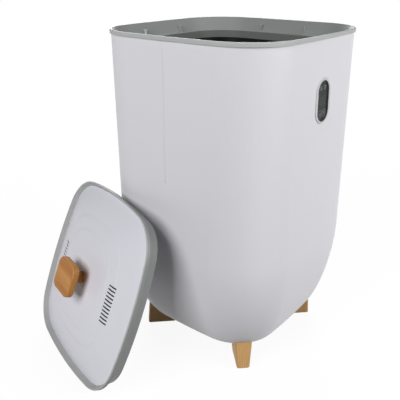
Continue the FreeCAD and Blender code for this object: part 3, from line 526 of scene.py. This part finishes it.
def hang(piece, name, body, finish, place=None):
    """Name a shaped piece, put its place into its mesh, and give it its finish and its body."""
    take(piece)
    piece.name = name
    piece.data.name = name
    if place is not None:
        piece.matrix_world = place @ piece.matrix_world
    settle()
    piece.data.materials.clear()
    piece.data.materials.append(finish.material)
    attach(piece, body)


def pick(piece, kind, test):
    """Go into edit mode with only the faces or corners that pass the test selected."""
    edit()
    bpy.ops.mesh.select_mode(type=kind)
    bpy.ops.mesh.select_all(action="DESELECT")
    leave_edit()
    parts = piece.data.polygons if kind == "FACE" else piece.data.vertices
    for part in parts:
        part.select = test(part)
    edit()


def join(pieces):
    pick_nothing()
    for piece in pieces:
        piece.select_set(True)
    bpy.context.view_layer.objects.active = pieces[0]
    bpy.ops.object.join()
    return pieces[0]


def upright_section(width, height):
    """Start a piece from a rectangle that stands on edge at the origin, and stay in edit mode."""
    pick_nothing()
    bpy.ops.mesh.primitive_plane_add(size=1.0, rotation=(QUARTER_TURN, 0.0, 0.0))
    piece = bpy.context.object
    settle()
    edit()
    bpy.ops.transform.resize(value=(width, 1.0, height))
    return piece


def spin_section(steps, sweep):
    """Spin the section round the upright axis. In a whole turn it leaves no face inside."""
    if sweep >= WHOLE_TURN:
        bpy.ops.mesh.delete(type="ONLY_FACE")
        pick_all()
    bpy.ops.mesh.spin(steps=steps, angle=math.radians(sweep), center=(0, 0, 0), axis=(0, 0, -1))
    pick_all()
    bpy.ops.mesh.remove_doubles(threshold=WELD)
    bpy.ops.mesh.normals_make_consistent(inside=False)
    leave_edit()


def lay(piece, middle, turn, lift):
    """Lay a stroke on the panel's face, with its middle in millimetres and its turn in degrees."""
    x, y = middle
    spot = Matrix.Translation((x * MM, y * MM, lift))
    piece.matrix_world = spot @ Matrix.Rotation(math.radians(turn), 4, "Z")
    settle()
    return piece


def arc_stroke(middle, radius, width, start, sweep, top):
    """A curved stroke of a sign, in millimetres and degrees: a section spun round the middle."""
    degrees_a_step = 12
    fewest_steps = 6
    piece = upright_section(width * MM, SIGN_THICK)
    bpy.ops.transform.translate(value=(radius * MM, 0.0, 0.0))
    spin_section(max(fewest_steps, round(sweep / degrees_a_step)), sweep)
    return lay(piece, middle, start, top + SIGN_THICK / 4)


def bar_stroke(middle, length, width, turn, top):
    """A straight stroke with rounded ends: a disc pulled out to both sides and thickened."""
    pick_nothing()
    radius = width / 2 * MM
    bpy.ops.mesh.primitive_circle_add(vertices=16, radius=radius, fill_type="NGON")
    piece = bpy.context.object
    reach = (length - width) / 2 * MM
    off_middle = 0.01 * width * MM
    for side in (1, -1):
        pick(piece, "VERT", lambda corner: corner.co.x * side > off_middle)
        bpy.ops.transform.translate(value=(reach * side, 0.0, 0.0))
        leave_edit()
    edit()
    pick_all()
    bpy.ops.mesh.extrude_region_move(TRANSFORM_OT_translate={"value": (0.0, 0.0, SIGN_THICK)})
    face_outward()
    leave_edit()
    return lay(piece, middle, turn, top - SIGN_THICK / 4)


def power_sign(spot):
    """A broken ring with a bar in its gap."""
    x, y = spot
    width = 0.5
    ring = arc_stroke(spot, radius=2.1, width=width, start=125, sweep=290, top=CAP_TOP)
    bar = bar_stroke((x, y + 1.6), length=2.2, width=width, turn=90, top=CAP_TOP)
    return join([ring, bar])


def timer_sign(spot):
    """A clock face with two hands."""
    x, y = spot
    width = 0.45
    ring = arc_stroke(spot, radius=2.2, width=width, start=0, sweep=WHOLE_TURN, top=CAP_TOP)
    upright_hand = bar_stroke((x, y + 0.55), length=1.5, width=width, turn=90, top=CAP_TOP)
    level_hand = bar_stroke((x + 0.45, y), length=1.3, width=width, turn=0, top=CAP_TOP)
    return join([ring, upright_hand, level_hand])


def heat_sign(spot):
    """Three rising waves, each of two arcs that bend opposite ways."""
    x, y = spot
    arc = {"radius": 1.75, "width": 0.5, "sweep": 112, "top": FASCIA_TOP}
    strokes = []
    for shift in (-2.1, 0.0, 2.1):
        strokes.append(arc_stroke((x + shift - 1.0, y - 1.45), start=-56, **arc))
        strokes.append(arc_stroke((x + shift + 0.95, y + 1.45), start=124, **arc))
    return join(strokes)


def drying_sign(spot):
    """A hanging towel: a rail, two falls of cloth and a hem."""
    x, y = spot
    bar = {"width": 0.6, "top": FASCIA_TOP}
    rail = bar_stroke((x, y + 2.7), length=6.2, turn=0, **bar)
    long_fall = bar_stroke((x - 1.7, y - 0.2), length=5.6, turn=90, **bar)
    short_fall = bar_stroke((x + 1.7, y + 0.5), length=4.2, turn=90, **bar)
    hem = bar_stroke((x, y - 2.7), length=3.4, turn=0, **bar)
    return join([rail, long_fall, short_fall, hem])


def fascia_trim():
    """The dark lip round the fascia: a ring drawn apart to an oblong, its top edges rounded."""
    width, height = 1.6 * MM, 1.7 * MM
    radius, lift = 15.15 * MM, 0.12 * MM
    half_length = 13.9 * MM
    steps = 96
    upper_edges = 0.5 * MM
    half_step = math.radians(WHOLE_TURN / steps / 2)
    piece = upright_section(width, height)
    bpy.ops.transform.translate(value=(radius, 0.0, lift))
    bpy.ops.transform.rotate(value=half_step, orient_axis="Z", center_override=(0.0, 0.0, 0.0))
    spin_section(steps, WHOLE_TURN)
    for side in (1, -1):
        pick(piece, "VERT", lambda corner: corner.co.y * side > 0)
        bpy.ops.transform.translate(value=(0.0, half_length * side, 0.0))
        leave_edit()
    pick(piece, "VERT", lambda corner: corner.co.z > upper_edges)
    bpy.ops.mesh.select_mode(type="EDGE")
    bpy.ops.mesh.bevel(offset=0.3 * MM, offset_type="WIDTH", segments=3, affect="EDGES")
    leave_edit()
    return piece


def slot_shade_gauze(side):
    """A flat strip of the dark woven mesh under one bank of the lid's slots, tilted as the lid is
    there; it is painted shade in the slots.
    """
    length, width, thick = 61 * MM, 21 * MM, 0.5 * MM
    fall = 4.1 * MM
    middle = (-2.8 * MM, side * 84 * MM, 10.6 * MM)
    pick_nothing()
    bpy.ops.mesh.primitive_grid_add(x_subdivisions=12, y_subdivisions=6, size=1.0)
    piece = bpy.context.object
    edit()
    bpy.ops.transform.resize(value=(length, width, 1.0))
    pick_all()
    bpy.ops.mesh.extrude_region_move(TRANSFORM_OT_translate={"value": (0.0, 0.0, thick)})
    face_outward()
    leave_edit()
    tilt = math.atan2(fall, width) * -side
    piece.matrix_world = Matrix.Translation(middle) @ Matrix.Rotation(tilt, 4, "X")
    settle()
    return piece


def cut_away(point, outward):
    """In edit mode, cut off what lies beyond a plane."""
    pick_all()
    bpy.ops.mesh.bisect(plane_co=point, plane_no=outward, clear_outer=True, threshold=FINE_WELD)


def parting_line():
    """The faint line that the mould leaves down two sides of the shell, cut from its wall."""
    near_side, far_side = 4.5 * MM, 5.7 * MM
    lower_end = 294 * MM
    least_outward = 0.25
    piece = bpy.data.objects.new("parting_line", frame["nodes"]["outer_shell"].data.copy())
    bpy.context.scene.collection.objects.link(piece)
    take(piece)
    edit()
    pick_all()
    bpy.ops.mesh.remove_doubles(threshold=FINE_WELD)
    cut_away((0.0, near_side, 0.0), (0.0, -1.0, 0.0))
    cut_away((0.0, far_side, 0.0), (0.0, 1.0, 0.0))
    cut_away((0.0, 0.0, lower_end), (0.0, 0.0, -1.0))
    leave_edit()
    pick(
        piece,
        "FACE",
        lambda face: face.normal.x * face.center.x < least_outward * abs(face.center.x),
    )
    bpy.ops.mesh.delete(type="FACE")
    leave_edit()
    bead = piece.modifiers.new("bead", "SOLIDIFY")
    bead.thickness = 0.12 * MM
    bead.offset = 1.0
    bpy.ops.object.modifier_apply(modifier="bead")
    return piece


power_print = power_sign(BUTTON_SPOTS["power_button"])
hang(power_print, "power_sign", "power_button", sign_print_and_glint, PANEL_PLACE)
timer_print = timer_sign(BUTTON_SPOTS["timer_button"])
hang(timer_print, "timer_sign", "timer_button", sign_print_and_glint, PANEL_PLACE)
heat_print = heat_sign(LIGHT_SPOTS["heat"])
hang(heat_print, "heat_sign", "bucket", sign_print_and_glint, PANEL_PLACE)
drying_print = drying_sign(LIGHT_SPOTS["drying"])
hang(drying_print, "drying_sign", "bucket", sign_print_and_glint, PANEL_PLACE)
# Pale rings round the buttons: painted highlight, standing for glints on the buttons' rims.
for label, spot in BUTTON_SPOTS.items():
    glint_hoop = arc_stroke(spot, radius=5.15, width=0.4, start=0, sweep=WHOLE_TURN, top=FASCIA_TOP)
    hang(glint_hoop, label + "_glint_ring", "bucket", sign_print_and_glint, PANEL_PLACE)
hang(fascia_trim(), "fascia_trim", "bucket", dark_lip, PANEL_PLACE)
# Dark sheets under the slots: painted shade.
for label, side in (("left", -1), ("right", 1)):
    hang(slot_shade_gauze(side), f"shade_gauze_{label}", "lid", gauze, LID_PLACE)
hang(parting_line(), "parting_line", "bucket", satin_white)


def white_ground(name, shadow, reach):
    """A diffuse floor that eye, mirror and glass rays see as white, with the object's shadow."""
    material = bpy.data.materials.new(name)
    material.use_nodes = True
    material.node_tree.nodes.clear()
    net = Net(material.node_tree)
    lit = net.node("ShaderNodeBsdfDiffuse", {}, {"Color": tint(132, 132, 132)})
    shaded = net.node("ShaderNodeBsdfDiffuse", {}, {"Color": tint(255, 255, 255)})
    glow = net.node("ShaderNodeEmission", {}, {"Strength": 1.0})
    own = net.node("ShaderNodeTexCoord", {}, {}, "Object")
    shrink = (1 / reach, 1 / reach, 1 / reach)
    spread = net.node("ShaderNodeMapping", {}, {"Vector": own, "Scale": shrink})
    ball = {"gradient_type": "SPHERICAL"}
    near = net.node("ShaderNodeTexGradient", ball, {"Vector": spread}, "Fac")
    shown = net.node("ShaderNodeMixShader", {}, {0: near * shadow, 1: glow, 2: shaded})
    seen = net.rays("Is Camera Ray", "Is Glossy Ray", "Is Transmission Ray")
    both = net.node("ShaderNodeMixShader", {}, {0: seen, 1: lit, 2: shown})
    net.node("ShaderNodeOutputMaterial", {}, {"Surface": both})
    return material


def white_studio(ambient_strength):
    """A world that lights the object a little and looks white."""
    world = bpy.data.worlds.new("white_studio")
    bpy.context.scene.world = world
    world.use_nodes = True
    world.node_tree.nodes.clear()
    net = Net(world.node_tree)
    white = tint(255, 255, 255)
    ambient = {"Color": white, "Strength": ambient_strength}
    lit = net.node("ShaderNodeBackground", {}, ambient)
    shown = net.node("ShaderNodeBackground", {}, {"Color": white, "Strength": 1.0})
    seen = net.rays("Is Camera Ray", "Is Transmission Ray")
    both = net.node("ShaderNodeMixShader", {}, {0: seen, 1: lit, 2: shown})
    net.node("ShaderNodeOutputWorld", {}, {"Surface": both})


def lamp(name, place, size, power):
    """A square softbox that points at the middle of the object."""
    target = Vector((0.0, 0.0, 0.33))
    turn = (target - Vector(place)).to_track_quat("-Z", "Y").to_euler()
    bpy.ops.object.light_add(type="AREA", location=place, rotation=turn)
    light = bpy.context.object
    light.name = name
    light.data.shape = "SQUARE"
    light.data.size = size
    light.data.energy = power


pick_nothing()
bpy.ops.mesh.primitive_plane_add(size=60.0, location=(0, 0, 0))
floor = bpy.context.object
floor.name = "studio_floor"
floor.data.materials.append(white_ground("white_floor", shadow=0.08, reach=1.6))

white_studio(ambient_strength=0.015)
lamp("key_softbox", place=(0.55, -2.0, 1.1), size=1.5, power=44.5)
lamp("side_softbox", place=(-2.0, 0.0, 1.4), size=1.2, power=42.0)
lamp("back_softbox", place=(1.7, 1.5, 1.2), size=1.5, power=46.0)

CAMERA_PLACE = (-0.702499, -0.500436, 0.587124)
CAMERA_LOOK = Vector((0.747940, 0.602540, -0.278443))
camera_turn = CAMERA_LOOK.to_track_quat("-Z", "Y").to_euler()
bpy.ops.object.camera_add(location=CAMERA_PLACE, rotation=camera_turn)
camera = bpy.context.object
camera.data.sensor_width = 36.0
camera.data.lens = 50.633
camera.data.shift_y = -0.175
bpy.context.scene.camera = camera
bpy.context.scene.view_settings.view_transform = "Standard"
